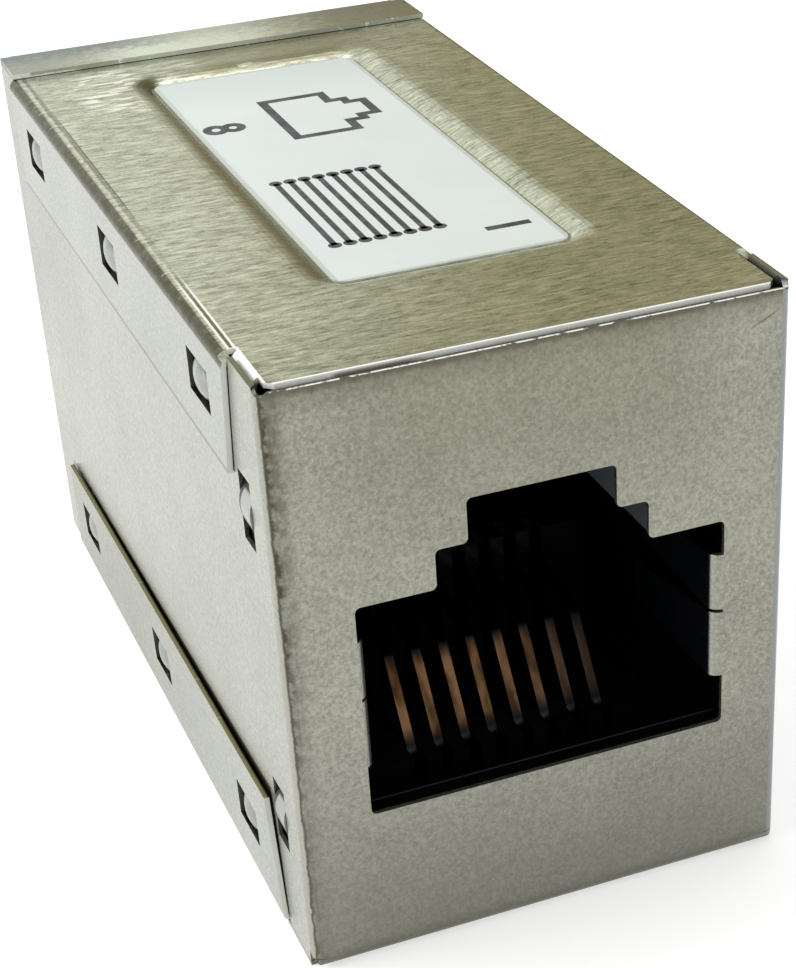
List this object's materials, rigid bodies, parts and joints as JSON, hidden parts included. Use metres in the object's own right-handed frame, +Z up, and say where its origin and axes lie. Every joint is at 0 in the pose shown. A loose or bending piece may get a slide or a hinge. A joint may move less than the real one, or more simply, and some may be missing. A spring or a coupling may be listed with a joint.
{
  "type": "modular jack inline coupler",
  "caption": "Shielded inline coupler: a folded plated-steel frame and two clipped covers round two back-to-back modular jacks.",
  "frame": {"origin": "under the middle of the part, on the surface it stands on", "axes": "+X across the width, +Y along the length with the front port facing -Y, +Z up"},
  "size_m": [0.0184, 0.036, 0.0221],
  "materials": {
    "plated_sheet": "satin",
    "label_film": "satin",
    "black_housing": "gloss",
    "black_insert": "satin",
    "board_laminate": "satin",
    "contact_wire": "satin"
  },
  "bodies": {
    "root": {"shell_frame": "plated_sheet", "top_cover": "plated_sheet", "bottom_cover": "plated_sheet", "label": "label_film", "circuit_board": "board_laminate", "front_jack_housing": "black_housing", "front_contact_carrier": "black_insert", "front_contact_1": "contact_wire", "front_contact_2": "contact_wire", "front_contact_3": "contact_wire", "front_contact_4": "contact_wire", "front_contact_5": "contact_wire", "front_contact_6": "contact_wire", "front_contact_7": "contact_wire", "front_contact_8": "contact_wire", "rear_jack_housing": "black_housing", "rear_contact_carrier": "black_insert", "rear_contact_1": "contact_wire", "rear_contact_2": "contact_wire", "rear_contact_3": "contact_wire", "rear_contact_4": "contact_wire", "rear_contact_5": "contact_wire", "rear_contact_6": "contact_wire", "rear_contact_7": "contact_wire", "rear_contact_8": "contact_wire"}
  },
  "joints": []
}
